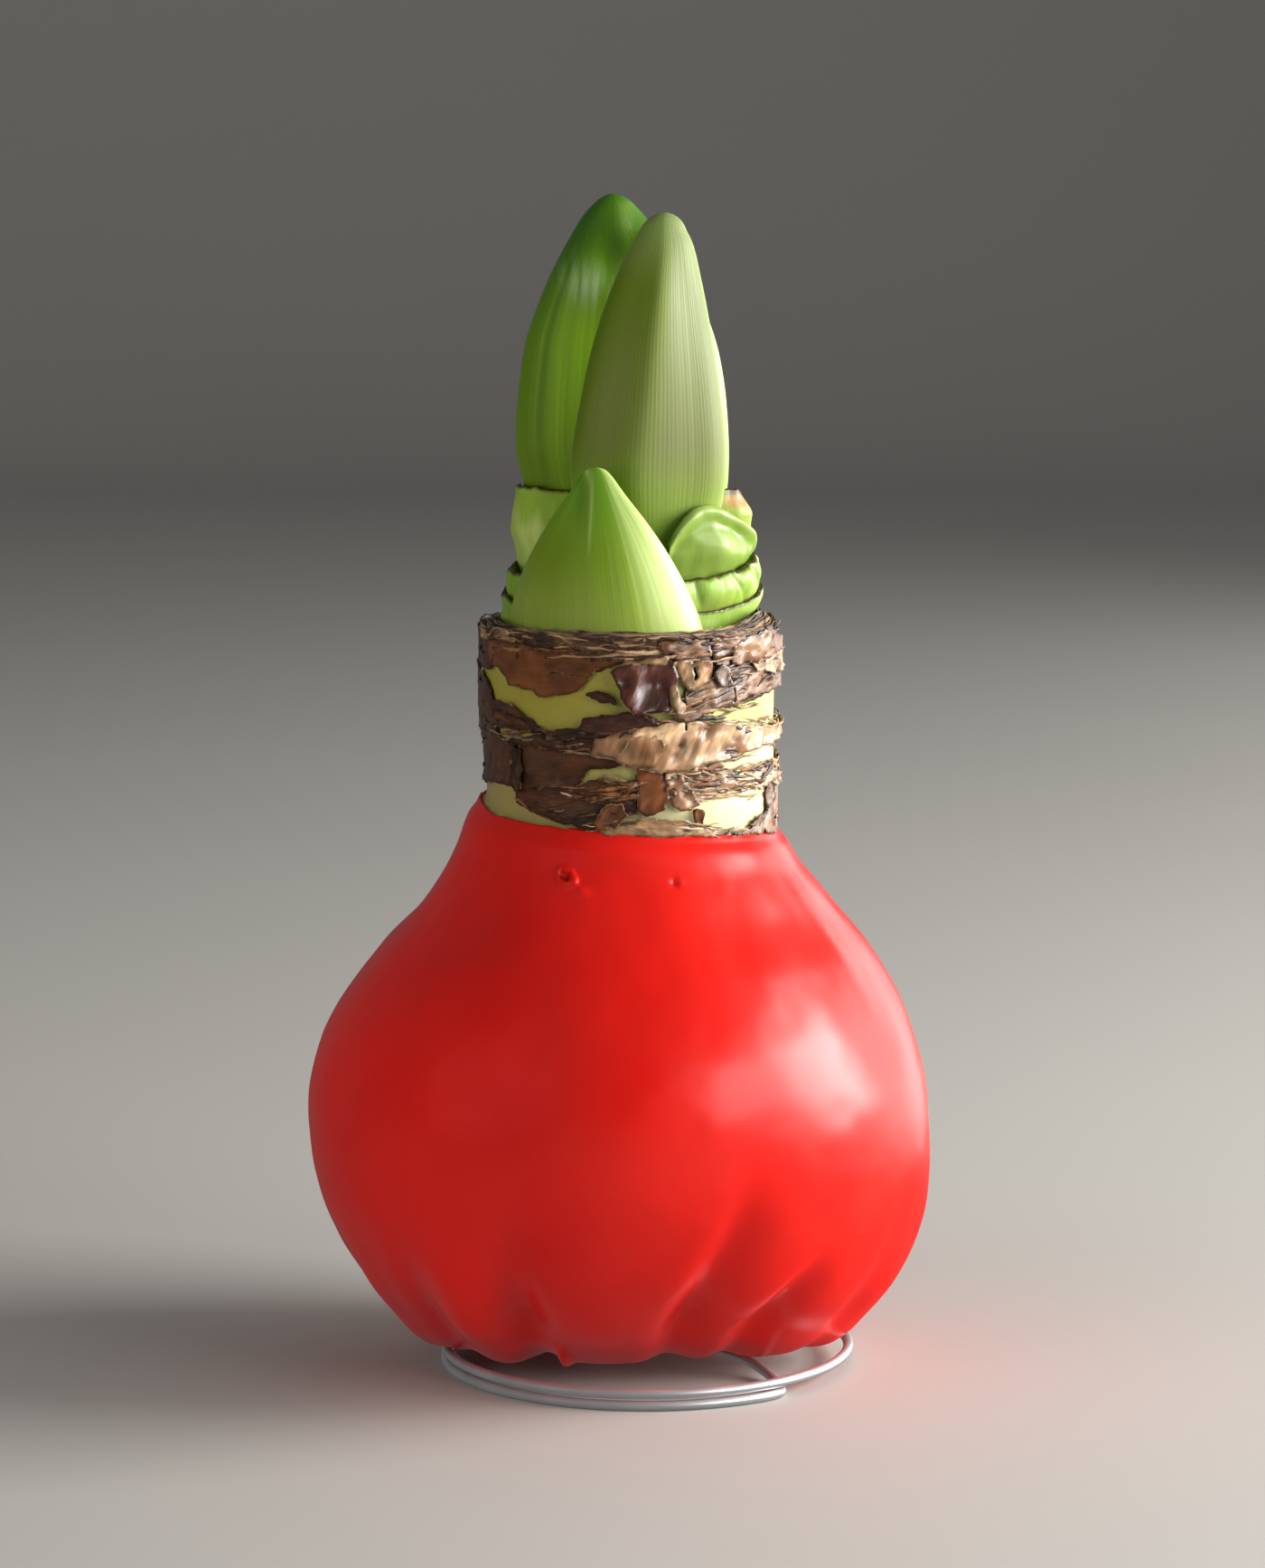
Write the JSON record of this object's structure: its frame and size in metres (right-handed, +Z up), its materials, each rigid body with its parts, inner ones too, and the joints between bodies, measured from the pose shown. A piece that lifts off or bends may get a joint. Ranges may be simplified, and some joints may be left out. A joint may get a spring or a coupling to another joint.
{
  "type": "waxed amaryllis bulb",
  "caption": "Amaryllis bulb dipped in wax, with a bare papery neck, a front shoot, a flower bud and a leaf shoot, on a coiled wire stand.",
  "frame": {"origin": "on the surface that the stand rests on, below the middle of the object's box", "axes": "+Z up through the shoots; -Y is the front, where the front shoot and the torn flap are; +X is the right as seen from the front"},
  "size_m": [0.0863, 0.086, 0.163],
  "materials": {
    "wax": "satin red wax, smooth, with soft folds at the foot",
    "wire": "bright drawn wire",
    "bulb_flesh": "smooth cream to yellow-green bulb scale, brown at its cut ends",
    "dry_skin": "dry brown papery skin, torn and wrinkled, with a slight shine",
    "leaf_base": "pale green cut leaf base with a dry brown edge",
    "leaf": "smooth fresh green leaf, waxy, with fine lengthwise veins",
    "bud": "grey-green bud with fine lengthwise stripes and a tinge of pink"
  },
  "bodies": {
    "root": {"wire_stand": "wire", "wax_coat": "wax", "bulb": "bulb_flesh", "rim_skin": "dry_skin", "middle_skin": "dry_skin", "lower_skin": "dry_skin", "foot_skin": "dry_skin", "torn_flap": "dry_skin", "outer_leaf_base": "leaf_base", "inner_leaf_base": "leaf_base", "leaf_sheath": "leaf_base", "folded_scale": "leaf_base", "front_shoot": "leaf", "flower_bud": "bud", "back_leaf": "leaf"}
  },
  "joints": []
}
